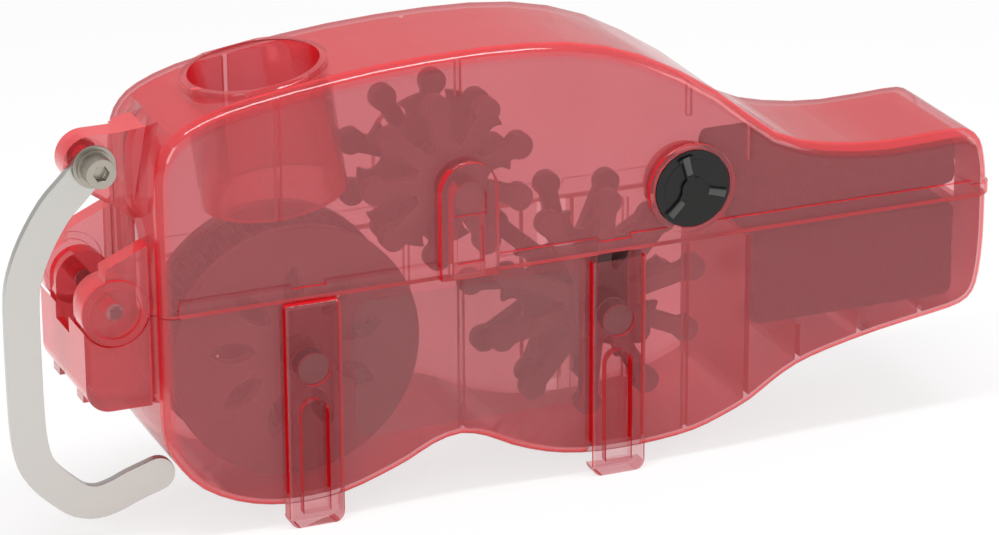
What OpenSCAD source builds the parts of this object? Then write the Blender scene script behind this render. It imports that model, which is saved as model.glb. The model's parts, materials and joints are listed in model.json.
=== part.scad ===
// Bike chain cleaner: a clear case in two halves on a hinge, with three geared scrubbing
// brushes, two sponges, a filler funnel and a steel hook that holds it against a bicycle.
// The chain runs along X through the hinge side, between the sponges and out of the grip.

/* [Case] */
// Length of the case from inlet wall to grip end
case_length = 252.9; // [240:0.1:265]
// Distance of the inlet wall from the middle of the part
inlet_distance = 106.5; // [100:0.1:112]
// Height of the case above the ground
case_height = 130.7; // [125:0.1:136]
// Width of the case across both walls
case_width = 48; // [46:0.5:52]
// Wall thickness of both halves
wall = 2.2; // [1.8:0.1:2.3]
// Height at which the halves part
parting_height = 66.3; // [64:0.1:68]
// Gap between the halves when shut
parting_gap = 0.3; // [0.3:0.05:0.6]
// Height of the strips along the upper half's rim
skirt_height = 5; // [4:0.5:6]
// How far the strips stand out
skirt_proud = 0.8; // [0.5:0.1:1]
// Thickness of the upright ribs inside
rib_thick = 1.6; // [1.2:0.1:2]
// Depth of the upright ribs inside
rib_depth = 1.8; // [1.4:0.1:2.2]

/* [Feet and bearings] */
// Distance of the left brush axle from the middle
left_axle_distance = 64.25; // [63:0.05:66]
// Distance of the right brush axle from the middle
right_axle_distance = 27.25; // [26:0.05:29]
// Depth of both lower axles below the parting line
lower_axle_drop = 19.55; // [19:0.05:21]
// Distance of the upper axle from the middle
upper_axle_distance = 17.8; // [17:0.05:19]
// Height of the upper axle above the parting line
upper_axle_rise = 23.7; // [23:0.1:25]
// Width of a foot channel
foot_width = 16; // [14:0.5:18]
// How far a channel stands out from the wall
foot_proud = 3; // [2.5:0.1:3.5]
// Thickness of the free end of a foot
foot_depth = 5; // [4:0.5:6]
// Width of the long slot in a channel
slot_width = 8; // [7:0.5:9]
// Height of the bar under the slot
slot_floor = 4; // [3:0.5:5]
// Distance of the top of the slot below the axle
slot_drop = 9.05; // [8:0.05:11]
// Width of the pocket over the upper axle
pocket_width = 17; // [15:0.5:18]
// Height of the pocket above the upper axle
pocket_rise = 10.2; // [9:0.1:12]
// Width of the window in the pocket
pocket_window = 9.8; // [9:0.1:10.5]
// Depth of the windows over the axle ends
window_depth = 0.5; // [0.3:0.1:0.6]
// Radius of an axle journal
journal_radius = 4.6; // [4:0.1:5]
// Radial play of the turning fits
running_play = 0.08; // [0.03:0.01:0.1]
// Material left in front of a bearing seat
seat_skin = 1; // [0.8:0.1:1.4]

/* [Funnel] */
// Distance of the funnel from the middle
funnel_distance = 70.3; // [69:0.1:72]
// Height of the middle of the rim under the case's top line
funnel_sink = 0.1; // [0:0.1:0.6]
// Outer radius of the funnel
funnel_radius = 20.4; // [19:0.1:21]
// Thickness of the funnel wall
funnel_wall = 2; // [1.6:0.1:2.4]
// Gap between the funnel and the left brush
funnel_gap = 6; // [5:0.5:12]
// Slope of the rim in degrees
funnel_slope = 8; // [5:1:12]
// How far the rim stands above the case
funnel_lip = 1.2; // [0.8:0.1:1.6]

/* [Chain way] */
// Width of the chain notches
notch_width = 12; // [10:0.5:13]
// Depth of the notches below the rim of the lower half
notch_depth = 6.3; // [5:0.1:8]
// Height of the arch in the upper inlet wall
arch_height = 21.7; // [18:0.1:24]
// Width of the arch in the upper inlet wall
arch_width = 10; // [9:0.5:12]

/* [Inlet guard and hinge] */
// How far the guard stands out from the inlet wall
guard_length = 20.9; // [19:0.1:22]
// Width of the guard
guard_width = 40; // [38:0.5:42]
// Depth of the guard below the parting line
guard_depth = 25.3; // [23:0.1:27]
// Corner radius of the guard
guard_round = 7; // [5:0.5:9]
// Distance of the hinge axis from the middle
hinge_distance = 118.5; // [117:0.1:120]
// Height of the hinge axis above the parting line
hinge_rise = 3.2; // [2.8:0.1:4]
// Radius of an upper knuckle
knuckle_radius = 9.5; // [9:0.1:10]
// Width of an upper knuckle
knuckle_width = 6; // [5:0.5:7]
// Radius of a lower lug
lug_radius = 8; // [7:0.1:8.5]
// Distance between the lower lugs, for the chain
lug_spread = 16; // [14:0.5:17]
// Radius of a hinge pin
pin_radius = 2.5; // [2:0.1:3]
// Side gap between moving parts
side_gap = 0.3; // [0.3:0.05:0.5]
// Distance of the top of the knuckle's arm above the axis
arm_rise = 18; // [16:0.5:20]

/* [Hook] */
// Distance of the hook screw from the middle
screw_distance = 120.1; // [119:0.1:121.5]
// Depth of the hook screw below the top of the case
screw_drop = 22; // [21:0.1:23]
// Radius of the ear around the screw
ear_radius = 7.5; // [7:0.1:8]
// Thickness of the ear
ear_thick = 8; // [7:0.5:9]
// Extra thickness of the ear where it meets the case
ear_flare = 5; // [3:0.5:7]
// Thickness of the hook strip
hook_thick = 2.5; // [2:0.1:3]
// Width of the hook strip
hook_width = 9.8; // [9:0.1:10.4]
// Height of the hook's foot above the ground
hook_clearance = 11.9; // [11.5:0.1:13]
// Radius of the screw shank
screw_radius = 2.5; // [2.4:0.05:2.6]
// Radius of the screw head
head_radius = 4.25; // [4:0.05:4.5]
// Height of the screw head
head_height = 5; // [4.5:0.1:5.5]
// Hexagon in the screw head across flats
hexagon_size = 4; // [3.5:0.1:4.5]
// Radius of the large washer
big_washer_radius = 6; // [5.5:0.1:6.5]
// Radius of the small washer
small_washer_radius = 5; // [4.5:0.1:5.4]
// Thickness of a washer
washer_thick = 1; // [0.8:0.1:1.2]
// Size of the lock nut across flats
nut_size = 8; // [7.8:0.1:8.2]
// Height of the lock nut
nut_height = 5; // [4:0.1:6]

/* [Brushes] */
// Radius of the left scrubbing discs
disc_radius = 36.5; // [35:0.1:36.6]
// Radius of the right star wheels
star_radius = 34; // [32:0.1:34.5]
// Radius of the upper star wheels
upper_star_radius = 26; // [24:0.1:26.5]
// Number of windows in a disc
window_count = 9; // [7:1:11]
// Number of arms of a right star
arm_count = 10; // [8:1:12]
// Number of arms of an upper star
upper_arm_count = 9; // [7:1:10]
// Width of a star arm
star_arm_width = 5; // [4:0.1:5.5]
// Radius of the bulb at an arm's end
bulb_radius = 3.8; // [3:0.1:4]
// Thickness of a disc or star
disc_thick = 4; // [3:0.5:5]
// Distance of the discs' outer faces from the middle plane
disc_offset = 13; // [12:0.5:14]
// Radius of the brush hubs
hub_radius = 9; // [8:0.1:10]
// Radius of the axle between its journals
axle_radius = 5.2; // [5:0.1:6]
// Play of pushed-on wheels
push_play = 0.04; // [0.02:0.01:0.06]
// Pitch of the bicycle chain
chain_pitch = 12.7; // [12.6:0.01:12.8]
// Radius of the chain rollers
roller_radius = 3.95; // [3.8:0.05:4.1]
// Thickness of a toothed wheel
tooth_thick = 2; // [1.8:0.1:2.2]
// Length of the bristles
bristle_length = 4.6; // [3:0.1:5]
// Thickness of a bristle
bristle_size = 0.8; // [0.6:0.1:1]
// Thickness of the ring that holds the bristles
backing_thick = 0.8; // [0.6:0.1:1]

/* [Plug] */
// Distance of the plug from the middle
plug_distance = 50.1; // [49:0.1:51]
// Height of the plug above the parting line
plug_rise = 16.4; // [16:0.1:18]
// Radius of the plug's cap
cap_radius = 11.3; // [10.5:0.1:11.5]
// Outer radius of the ring around the cap
collar_radius = 13.1; // [12.6:0.1:13.5]
// How far the collar stands out
collar_proud = 1.8; // [1.4:0.1:2.2]
// Thickness of the cap
cap_thick = 2.6; // [2.2:0.1:2.7]
// Radius of the shank
shank_radius = 7; // [6:0.1:7.5]
// Length of the sleeve behind the cap
sleeve_length = 5; // [4:0.5:6]
// Section radius of the seal ring
seal_section = 0.7; // [0.6:0.05:0.8]

/* [Sponges and label] */
// Distance of the sponges' inner ends from the middle
sponge_start = 72; // [71:0.5:74]
// Gap between the sponges and the grip's end wall
sponge_end_gap = 6.2; // [5:0.1:10]
// Width of the sponges
sponge_width = 41; // [38:0.5:42]
// Gap between a sponge and the grip wall behind it
sponge_play = 0.6; // [0.5:0.1:2]
// Distance of the lower sponge's face below the parting line
lower_sponge_drop = 2.3; // [2:0.1:4]
// Distance of the upper sponge's face above the parting line
upper_sponge_rise = 2.7; // [2.4:0.1:4]
// Distance of the film's left edge from the middle
film_start = 51.7; // [50:0.1:53]
// Length of the film
film_length = 67.7; // [64:0.1:70]
// Distance of the film's top below the parting line
film_drop = 2.8; // [2:0.1:4]
// Height of the film
film_height = 40.5; // [38:0.1:41]
// Corner radius of the film
film_round = 5; // [3:0.5:7]
// Thickness of the film
film_thick = 0.25; // [0.2:0.05:0.3]

/* [Colours] */
// Colour of the case
case_colour = [0.78, 0.2, 0.26];
// Colour of the brushes
brush_colour = [0.45, 0.36, 0.36];
// Colour of the steel pieces
steel_colour = [0.72, 0.72, 0.74];
// Colour of the black pieces
black_colour = [0.08, 0.08, 0.09];
// Colour of the sponges
sponge_colour = [0.4, 0.24, 0.25];

/* [Hidden] */
half_width = case_width / 2;
lower_axle_height = parting_height - lower_axle_drop;
upper_axle_height = parting_height + upper_axle_rise;
pocket_top = upper_axle_height + pocket_rise;
slot_top = lower_axle_height - slot_drop;
hinge_height = parting_height + hinge_rise;
guard_floor = parting_height - guard_depth;
screw_height = case_height - screw_drop;
hook_drop = screw_height - hook_clearance;
plug_height = parting_height + plug_rise;
film_floor = parting_height - film_drop - film_height;
inner_half = half_width - wall;
upper_floor = parting_height + parting_gap;
overrun = wall;
sliver = parting_gap / 10;
left_x = -left_axle_distance;
right_x = right_axle_distance;
upper_x = -upper_axle_distance;
hinge_x = -hinge_distance;
screw_x = -screw_distance;
inlet_x = -inlet_distance;
end_x = case_length - inlet_distance;
seat_radius = journal_radius + running_play;
front_reach = half_width + foot_proud;
seat_reach = front_reach - seat_skin;
journal_reach = seat_reach - side_gap;
axle_reach = inner_half - side_gap;
knuckle_outer = guard_width / 2;
knuckle_inner = knuckle_outer - knuckle_width;
lug_inner = lug_spread / 2;
lug_outer = knuckle_inner - side_gap;
hook_front = -ear_thick - side_gap - hook_thick;
washer_back = hook_front - side_gap;
washer_front = washer_back - 2 * washer_thick - sliver;
drive_teeth = 11;
press_teeth = 10;
root_two = sqrt(2);

// The case outline above the parting line, in shares of its length and height
top_shares = [[0, 0.507], [0, 0.673], [0, 0.788], [0.004, 0.845], [0.015, 0.884], [0.036, 0.915],
    [0.081, 0.946], [0.155, 0.97], [0.257, 0.992], [0.373, 1], [0.476, 0.987], [0.565, 0.937],
    [0.657, 0.833], [0.729, 0.722], [0.792, 0.679], [0.868, 0.661], [0.951, 0.665],
    [0.976, 0.66], [0.991, 0.635], [0.997, 0.597], [1, 0.551], [1, 0.507]];
// The case outline below the parting line
bottom_shares = [[0, 0.507], [0, 0.383], [0, 0.283], [0.004, 0.218], [0.02, 0.157],
    [0.045, 0.104], [0.081, 0.065], [0.121, 0.043], [0.164, 0.036], [0.208, 0.044],
    [0.247, 0.066], [0.283, 0.092], [0.314, 0.121], [0.346, 0.134], [0.378, 0.117],
    [0.409, 0.086], [0.449, 0.057], [0.492, 0.04], [0.54, 0.035], [0.587, 0.038],
    [0.631, 0.048], [0.666, 0.069], [0.702, 0.098], [0.73, 0.133], [0.761, 0.165],
    [0.801, 0.188], [0.864, 0.213], [0.935, 0.233], [0.97, 0.246], [0.988, 0.272],
    [0.996, 0.321], [1, 0.406], [1, 0.507]];
// Where the rim strips run, in shares of the case length
skirt_shares = [[0.015, 0.146], [0.185, 0.316], [0.38, 0.508], [0.547, 0.975]];
// Middle line of the hook, in shares of its drop and from the screw
hook_shares = [[0, 0], [-0.06, -0.062], [-0.117, -0.121], [-0.175, -0.215], [-0.21, -0.303],
    [-0.221, -0.37], [-0.223, -0.47], [-0.223, -0.565], [-0.222, -0.67], [-0.218, -0.782],
    [-0.203, -0.862], [-0.172, -0.915], [-0.125, -0.963], [-0.078, -1], [-0.025, -1.013],
    [0.03, -1.002], [0.08, -0.982], [0.156, -0.958]];

// One point of a smooth curve through b and c
function curve_point(a, b, c, d, t) =
    0.5 * (2 * b + (c - a) * t + (2 * a - 5 * b + 4 * c - d) * t * t
    + (3 * b - a - 3 * c + d) * t * t * t);
// A smooth line through every point of a list
function smooth(p, steps) = concat([for (i = [0:len(p) - 2]) for (k = [0:steps - 1])
    curve_point(p[max(i - 1, 0)], p[i], p[i + 1], p[min(i + 2, len(p) - 1)], k / steps)],
    [p[len(p) - 1]]);
function unit(v) = v / norm(v);
// Inward direction of one stretch; side is 1 above the parting line and -1 below
function inward(a, b, side) = side * unit([b[1] - a[1], a[0] - b[0]]);
// The line moved inward by a distance, its corners mitred
function inset_line(p, d, side) = [for (i = [0:len(p) - 1])
    i == 0 ? p[0] + [d, 0] : i == len(p) - 1 ? p[i] - [d, 0] :
    let (m = inward(p[i - 1], p[i], side), n = inward(p[i], p[i + 1], side), b = unit(m + n))
    p[i] + b * d / (b * n)];
function case_line(shares) = [for (s = shares) [s[0] * case_length - inlet_distance,
    s[1] * case_height]];
top_line = smooth(case_line(top_shares), 2);
bottom_line = smooth(case_line(bottom_shares), 2);
function height_on(line, x) = lookup(x, line);
sponge_length = end_x - wall - sponge_end_gap - sponge_start;
sponge_end = sponge_start + sponge_length;
lower_sponge_floor = max([for (k = [0.6:0.1:1])
    height_on(bottom_line, sponge_start + k * sponge_length)]) + wall + sponge_play;
lower_sponge_height = parting_height - lower_sponge_drop - lower_sponge_floor;
upper_sponge_floor = parting_height + upper_sponge_rise;
upper_sponge_height = min([for (k = [0.3:0.1:1])
    height_on(top_line, sponge_start + k * sponge_length)]) - wall - sponge_play
    - upper_sponge_floor;
funnel_height = height_on(top_line, -funnel_distance) - funnel_sink;
funnel_depth = funnel_height - lower_axle_height - disc_radius - funnel_gap;
// The curve with its two ends set on another height
function with_ends(p, z) = [for (i = [0:len(p) - 1])
    i == 0 || i == len(p) - 1 ? [p[i][0], z] : p[i]];

// A filled half case, its outline drawn in by an inset on every side
module half_case(line, side, inset, z_end) {
    plate(inset - half_width, half_width - inset)
        polygon(with_ends(inset_line(line, inset, side), z_end));
}

module upper_solid() {
    half_case(top_line, 1, 0, upper_floor);
}

module lower_solid() {
    half_case(bottom_line, -1, 0, parting_height);
}

// A block given by two corners
module block(a, b) {
    translate(a) cube(b - a);
}

// A straight bar along Y between two depths
module rod(x, z, r, y0, y1, fn = 48) {
    translate([x, y1, z]) rotate([90, 0, 0]) cylinder(r = r, h = y1 - y0, $fn = fn);
}

// A flat shape in X and Z pushed along Y between two depths
module plate(y0, y1) {
    translate([0, y1, 0]) rotate([90, 0, 0]) linear_extrude(height = y1 - y0) children();
}

// A flat bar with a round top
module arch_shape(x, w, z0, z1) {
    translate([x - w / 2, z0]) square([w, z1 - z0 - w / 2]);
    translate([x, z1 - w / 2]) circle(r = w / 2, $fn = 40);
}

// A foot channel on one side of the case
module foot(x, side) {
    y0 = side < 0 ? -front_reach : half_width - foot_depth + foot_proud;
    y1 = side < 0 ? -half_width + foot_depth - foot_proud : front_reach;
    difference() {
        plate(y0, y1) {
            translate([x - foot_width / 2, foot_proud])
                square([foot_width, parting_height - seat_skin - foot_proud]);
            translate([x - foot_width / 2 + foot_proud, 0])
                square([foot_width - 2 * foot_proud, foot_proud]);
            translate([x - foot_width / 2 + foot_proud, foot_proud])
                circle(r = foot_proud, $fn = 32);
            translate([x + foot_width / 2 - foot_proud, foot_proud])
                circle(r = foot_proud, $fn = 32);
        }
        plate(side < 0 ? -front_reach - overrun : half_width,
            side < 0 ? -half_width : front_reach + overrun)
            arch_shape(x, slot_width, slot_floor, slot_top);
        window(side) translate([x, lower_axle_height]) circle(r = slot_width * 0.59, $fn = 48);
    }
}

// A shallow sunk window in the outer face of a channel or pocket
module window(side) {
    plate(side < 0 ? -front_reach - overrun : front_reach - window_depth,
        side < 0 ? window_depth - front_reach : front_reach + overrun) children();
}

// The open-ended seat of an axle, cut from inside
module seat(x, z, z_open) {
    plate(-seat_reach, seat_reach) {
        translate([x, z]) circle(r = seat_radius, $fn = 64);
        translate([x - seat_radius, min(z, z_open)]) square([2 * seat_radius, abs(z_open - z)]);
    }
}

// Upright ribs on the inner faces of both walls
module wall_rib(x, z0, z1) {
    for (s = [-1, 1])
        block([x - rib_thick / 2, s < 0 ? -inner_half - wall / 2 : inner_half - rib_depth, z0],
            [x + rib_thick / 2, s < 0 ? rib_depth - inner_half : inner_half + wall / 2, z1]);
}

// The guard's side outline
module guard_shape(inset) {
    x0 = inlet_x - guard_length + inset;
    x1 = inlet_x + wall / 2;
    z0 = guard_floor + inset;
    r = guard_round - inset;
    translate([x0 + r, z0]) square([x1 - x0 - r, parting_height + (inset > 0 ? overrun : 0) - z0]);
    translate([x0, z0 + r]) square([x1 - x0, parting_height + (inset > 0 ? overrun : 0) - z0 - r]);
    translate([x0 + r, z0 + r]) circle(r = r, $fn = 48);
}

module guard() {
    difference() {
        plate(-guard_width / 2, guard_width / 2) guard_shape(0);
        difference() {
            plate(wall - guard_width / 2, guard_width / 2 - wall) guard_shape(wall);
            block([inlet_x, -guard_width, 0], [inlet_x + wall, guard_width, case_height]);
        }
        rod(hinge_x, hinge_height, knuckle_radius + 2 * side_gap, -guard_width, guard_width);
        block([inlet_x - guard_length - wall, -notch_width / 2, parting_height - notch_depth],
            [hinge_x, notch_width / 2, parting_height + overrun]);
    }
}

// One lower hinge lug on its post
module lug(y0, y1) {
    plate(y0, y1) difference() {
        union() {
            translate([hinge_x, hinge_height]) circle(r = lug_radius, $fn = 64);
            translate([hinge_x - lug_radius, guard_floor + wall / 2])
                square([2 * lug_radius, hinge_height - guard_floor - wall / 2]);
        }
        translate([hinge_x, hinge_height])
            circle(r = pin_radius + running_play / 2, $fn = 48);
    }
}

module lower_shell() {
    color(case_colour) difference() {
        union() {
            difference() {
                union() {
                    lower_solid();
                    for (x = [left_x, right_x]) for (s = [-1, 1]) foot(x, s);
                }
                half_case(bottom_line, -1, wall, parting_height + overrun);
                for (x = [left_x, right_x]) seat(x, lower_axle_height, parting_height + overrun);
            }
            guard();
            for (s = [-1, 1]) lug(s < 0 ? -lug_outer : lug_inner, s < 0 ? -lug_inner : lug_outer);
            intersection() {
                lower_solid();
                union() {
                    block([sponge_start - 2 * rib_thick, -half_width, 0],
                        [sponge_start - rib_thick, half_width, parting_height - rib_depth]);
                    for (k = [0.2, 0.5, 0.8])
                        block([sponge_start + k * sponge_length, -half_width, 0],
                            [sponge_start + k * sponge_length + rib_thick, half_width,
                            lower_sponge_floor - side_gap]);
                    wall_rib(right_x + star_radius * 0.68, 0, parting_height - rib_depth);
                    wall_rib((left_x + right_x) / 2, 0, parting_height - rib_depth);
                }
            }
        }
        block([inlet_x - wall, -notch_width / 2, parting_height - notch_depth],
            [inlet_x + 2 * wall, notch_width / 2, parting_height + overrun]);
        block([end_x - 3 * wall, -notch_width / 2, parting_height - notch_depth],
            [end_x + wall, notch_width / 2, parting_height + overrun]);
    }
}

// Knuckle and its arm up to the inlet wall
module knuckle(y0, y1) {
    plate(y0, y1) difference() {
        union() {
            translate([hinge_x, hinge_height]) circle(r = knuckle_radius, $fn = 72);
            difference() {
                polygon([[hinge_x - knuckle_radius / 4, hinge_height],
                    [hinge_x - knuckle_radius / 4, hinge_height + arm_rise * 0.7],
                    [inlet_x - wall, hinge_height + arm_rise],
                    [inlet_x + wall / 2, hinge_height + arm_rise * 1.05],
                    [inlet_x + wall / 2, upper_floor],
                    [hinge_x + knuckle_radius * 0.9, upper_floor]]);
                translate([hinge_x - knuckle_radius * 0.2, hinge_height + arm_rise * 1.28])
                    circle(r = arm_rise * 0.52, $fn = 48);
            }
        }
        translate([hinge_x, hinge_height]) circle(r = pin_radius + running_play, $fn = 48);
    }
}

// Ear that carries the hook's screw, thicker where it meets the case
module ear() {
    outline = [[screw_x - ear_radius * 0.62, screw_height - ear_radius * 0.78],
        [inlet_x - wall, screw_height - ear_radius * 2.3],
        [inlet_x + wall, screw_height - ear_radius * 2.45],
        [inlet_x + wall * 3.4, screw_height + ear_radius * 1.25],
        [inlet_x + wall, screw_height + ear_radius * 1.08],
        [inlet_x - wall * 2, screw_height + ear_radius],
        [screw_x, screw_height + ear_radius]];
    plate(-ear_thick, 0) {
        translate([screw_x, screw_height]) circle(r = ear_radius, $fn = 64);
        polygon(outline);
    }
    for (k = [0:3])
        plate(0, ear_flare * sin(22.5 * (k + 1))) intersection() {
            polygon(outline);
            translate([inlet_x - ear_flare * cos(22.5 * (k + 1)) - wall / 4, 0])
                square([case_length, case_height]);
        }
}

// Raised pocket over the upper axle
module pocket(side) {
    difference() {
        plate(side < 0 ? -front_reach : inner_half, side < 0 ? -inner_half : front_reach)
            arch_shape(upper_x, pocket_width, upper_floor, pocket_top);
        window(side) arch_shape(upper_x, pocket_window,
            upper_axle_height - pocket_window / 2, upper_axle_height + pocket_window / 2);
        window(side) arch_shape(upper_x, pocket_window * 0.8, upper_floor + 2 * wall,
            upper_axle_height - pocket_window / 2 - wall / 2);
    }
}

module funnel_tilt() {
    translate([-funnel_distance, 0, funnel_height]) rotate([0, -funnel_slope, 0]) children();
}

module upper_shell() {
    color(case_colour) difference() {
        union() {
            difference() {
                union() {
                    upper_solid();
                    for (s = [-1, 1]) pocket(s);
                    for (w = skirt_shares) for (s = [-1, 1])
                        block([w[0] * case_length - inlet_distance, s < 0 ?
                            -half_width - skirt_proud : inner_half + wall / 2, upper_floor],
                            [w[1] * case_length - inlet_distance, s < 0 ?
                            -inner_half - wall / 2 : half_width + skirt_proud,
                            upper_floor + skirt_height]);
                    rod(plug_distance, plug_height, collar_radius, -half_width - collar_proud,
                        -half_width + wall / 2, 72);
                }
                half_case(top_line, 1, wall, upper_floor - overrun);
                seat(upper_x, upper_axle_height, upper_floor - overrun);
            }
            for (s = [-1, 1])
                knuckle(s < 0 ? -knuckle_outer : knuckle_inner,
                    s < 0 ? -knuckle_inner : knuckle_outer);
            ear();
            intersection() {
                upper_solid();
                union() {
                    wall_rib(-funnel_distance - wall / 2, funnel_height - funnel_depth,
                        case_height);
                    wall_rib(upper_x - wall / 2, upper_axle_height + upper_star_radius + wall,
                        case_height);
                    wall_rib(sponge_start - rib_thick, upper_axle_height - foot_proud,
                        case_height);
                }
            }
            funnel_tilt() translate([0, 0, -funnel_depth])
                cylinder(r = funnel_radius, h = funnel_depth + funnel_lip, $fn = 96);
            rod(plug_distance, plug_height, shank_radius + 2 * wall, -inner_half - wall / 2,
                -inner_half + sleeve_length, 64);
        }
        funnel_tilt() translate([0, 0, -funnel_depth - overrun])
            cylinder(r = funnel_radius - funnel_wall, h = funnel_depth + 3 * overrun, $fn = 96);
        rod(plug_distance, plug_height, shank_radius + running_play, -case_width,
            -inner_half + sleeve_length + overrun, 72);
        rod(plug_distance, plug_height, cap_radius + side_gap, -case_width,
            -half_width - side_gap, 72);
        rod(screw_x, screw_height, screw_radius + push_play, -case_width, case_width);
        block([inlet_x - wall, -arch_width / 2, upper_floor - overrun],
            [inlet_x + 2 * wall, arch_width / 2, upper_floor + arch_height - arch_width / 2]);
        translate([inlet_x - wall, 0, upper_floor + arch_height - arch_width / 2])
            rotate([0, 90, 0]) cylinder(r = arch_width / 2, h = 3 * wall, $fn = 48);
        block([end_x - 3 * wall, -notch_width / 2, upper_floor - overrun],
            [end_x + wall, notch_width / 2, upper_floor + notch_depth]);
    }
}

// One pin for each side of the chain way
module hinge_pins() {
    color(steel_colour) for (s = [-1, 1])
        rod(hinge_x, hinge_height, pin_radius, s < 0 ? side_gap - knuckle_outer : lug_inner,
            s < 0 ? -lug_inner : knuckle_outer - side_gap);
}

function hook_line() = smooth([for (s = hook_shares)
    [screw_x + s[0] * hook_drop, screw_height + s[1] * hook_drop]], 3);
function quarter_back(v) = [v[1], -v[0]];
// Outline of a band of even width along a line, with round ends
function band(p, w) = let (n = len(p) - 1,
    side = [for (i = [0:n]) let (a = unit(p[min(i + 1, n)] - p[max(i - 1, 0)]))
        [-a[1], a[0]] * w / 2])
    concat([for (i = [0:n]) p[i] + side[i]],
    [for (a = [15:15:165]) p[n] + side[n] * cos(a) + quarter_back(side[n]) * sin(a)],
    [for (i = [0:n]) p[n - i] - side[n - i]],
    [for (a = [15:15:165]) p[0] - side[0] * cos(a) - quarter_back(side[0]) * sin(a)]);

module hook_arm() {
    line = hook_line();
    color(steel_colour) plate(hook_front, hook_front + hook_thick) difference() {
        polygon(band(line, hook_width));
        translate(line[0]) circle(r = screw_radius + running_play, $fn = 48);
    }
}

module hook_screw() {
    color(steel_colour) difference() {
        union() {
            rod(screw_x, screw_height, screw_radius, washer_front - sliver,
                nut_height + screw_radius / 2);
            rod(screw_x, screw_height, head_radius, washer_front - sliver - head_height,
                washer_front - sliver);
        }
        translate([screw_x, washer_front - head_height / 2 - sliver, screw_height])
            rotate([90, 0, 0]) cylinder(r = hexagon_size / sqrt(3), h = head_height, $fn = 6);
    }
}

module washer(r, y) {
    difference() {
        rod(screw_x, screw_height, r, y - washer_thick, y);
        rod(screw_x, screw_height, screw_radius + 2 * push_play, y - 2 * washer_thick,
            y + washer_thick);
    }
}

module hook_washers() {
    color(steel_colour) {
        washer(big_washer_radius, washer_back);
        washer(small_washer_radius, washer_back - washer_thick - sliver);
    }
}

module hook_nut() {
    color(steel_colour) difference() {
        union() {
            translate([screw_x, sliver + nut_height * 0.75, screw_height]) rotate([90, 30, 0])
                cylinder(r = nut_size / sqrt(3), h = nut_height * 0.75, $fn = 6);
            rod(screw_x, screw_height, nut_size * 0.44, sliver, sliver + nut_height);
        }
        rod(screw_x, screw_height, screw_radius + push_play, -nut_height, 2 * nut_height);
    }
}

// A stepped axle with a journal at each end
module axle(x, z) {
    rod(x, z, journal_radius, -journal_reach, journal_reach, 64);
    rod(x, z, axle_radius, -axle_reach, axle_reach, 64);
}

// The bored hub of a wheel that is pushed on an axle
module hub_bore(x, z, y0, y1) {
    rod(x, z, axle_radius + push_play, y0 - wall, y1 + wall, 64);
}

function near(side, a) = side < 0 ? -disc_offset : disc_offset - a;
function far(side, a) = side < 0 ? a - disc_offset : disc_offset;

// A round disc with lens windows
module disc(x, z, side) {
    difference() {
        union() {
            rod(x, z, disc_radius, near(side, disc_thick), far(side, disc_thick), 96);
            rod(x, z, hub_radius, near(side, disc_thick * 1.6), far(side, disc_thick * 1.6), 64);
        }
        hub_bore(x, z, near(side, disc_thick * 2), far(side, disc_thick * 2));
        for (k = [0:window_count - 1]) plate(-disc_offset - wall, disc_offset + wall)
            translate([x, z]) rotate(k * 360 / window_count + 12)
            translate([disc_radius * 0.52, 0]) intersection() {
                translate([0, -disc_radius * 0.17]) circle(r = disc_radius * 0.25, $fn = 40);
                translate([0, disc_radius * 0.17]) circle(r = disc_radius * 0.25, $fn = 40);
            }
    }
}

// A star wheel whose arms end in bulbs
module star(x, z, side, reach, count, turn) {
    difference() {
        union() {
            rod(x, z, hub_radius, near(side, disc_thick * 1.6), far(side, disc_thick * 1.6), 64);
            plate(near(side, disc_thick), far(side, disc_thick)) translate([x, z]) {
                circle(r = hub_radius * 1.2, $fn = 64);
                for (k = [0:count - 1]) rotate(k * 360 / count + turn) {
                    translate([0, -star_arm_width / 2])
                        square([reach - bulb_radius, star_arm_width]);
                    translate([reach - bulb_radius, 0]) circle(r = bulb_radius, $fn = 32);
                }
            }
        }
        hub_bore(x, z, near(side, disc_thick * 2), far(side, disc_thick * 2));
    }
}

function pitch_radius(teeth) = chain_pitch / (2 * sin(180 / teeth));

// A toothed wheel for the roller chain, with its hub
module toothed_wheel(x, z, teeth, turn) {
    r = pitch_radius(teeth);
    difference() {
        union() {
            plate(-tooth_thick / 2, tooth_thick / 2) translate([x, z]) rotate(turn)
                difference() {
                    circle(r = r + roller_radius * 0.62, $fn = teeth * 6);
                    for (k = [0:teeth - 1]) rotate(k * 360 / teeth) {
                        translate([r, 0]) circle(r = roller_radius + push_play, $fn = 32);
                        translate([r + roller_radius * 0.75, 0]) rotate(45)
                            square(roller_radius * 1.7, center = true);
                    }
                }
            rod(x, z, hub_radius, -disc_thick, disc_thick, 64);
        }
        hub_bore(x, z, -disc_thick, disc_thick);
    }
}

// Bristles fused to the ring that holds them, pointing at the chain
module bristles(x, z, side) {
    base = disc_offset - disc_thick - sliver;
    y_in = base - backing_thick;
    flip = side < 0 ? 1 : -1;
    difference() {
        rod(x, z, disc_radius * 0.97, side < 0 ? -base : y_in, side < 0 ? -y_in : base, 72);
        rod(x, z, disc_radius * 0.7, -disc_offset, disc_offset, 72);
    }
    for (ring = [0:2]) for (k = [0:49])
        translate([x, 0, z]) rotate([0, (k + ring / 3) * 7.2, 0])
            translate([disc_radius * (0.745 + 0.09 * ring), -flip * (y_in + backing_thick / 2), 0])
            rotate([-90 * flip, 0, 0])
            cylinder(r = bristle_size / 2, h = bristle_length + backing_thick / 2, $fn = 3);
}

module left_brush_axle() {
    color(steel_colour) axle(left_x, lower_axle_height);
}

module left_brush_near_disc() {
    color(brush_colour) disc(left_x, lower_axle_height, -1);
}

module left_brush_far_disc() {
    color(brush_colour) disc(left_x, lower_axle_height, 1);
}

module left_brush_near_bristles() {
    color(black_colour) bristles(left_x, lower_axle_height, -1);
}

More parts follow.
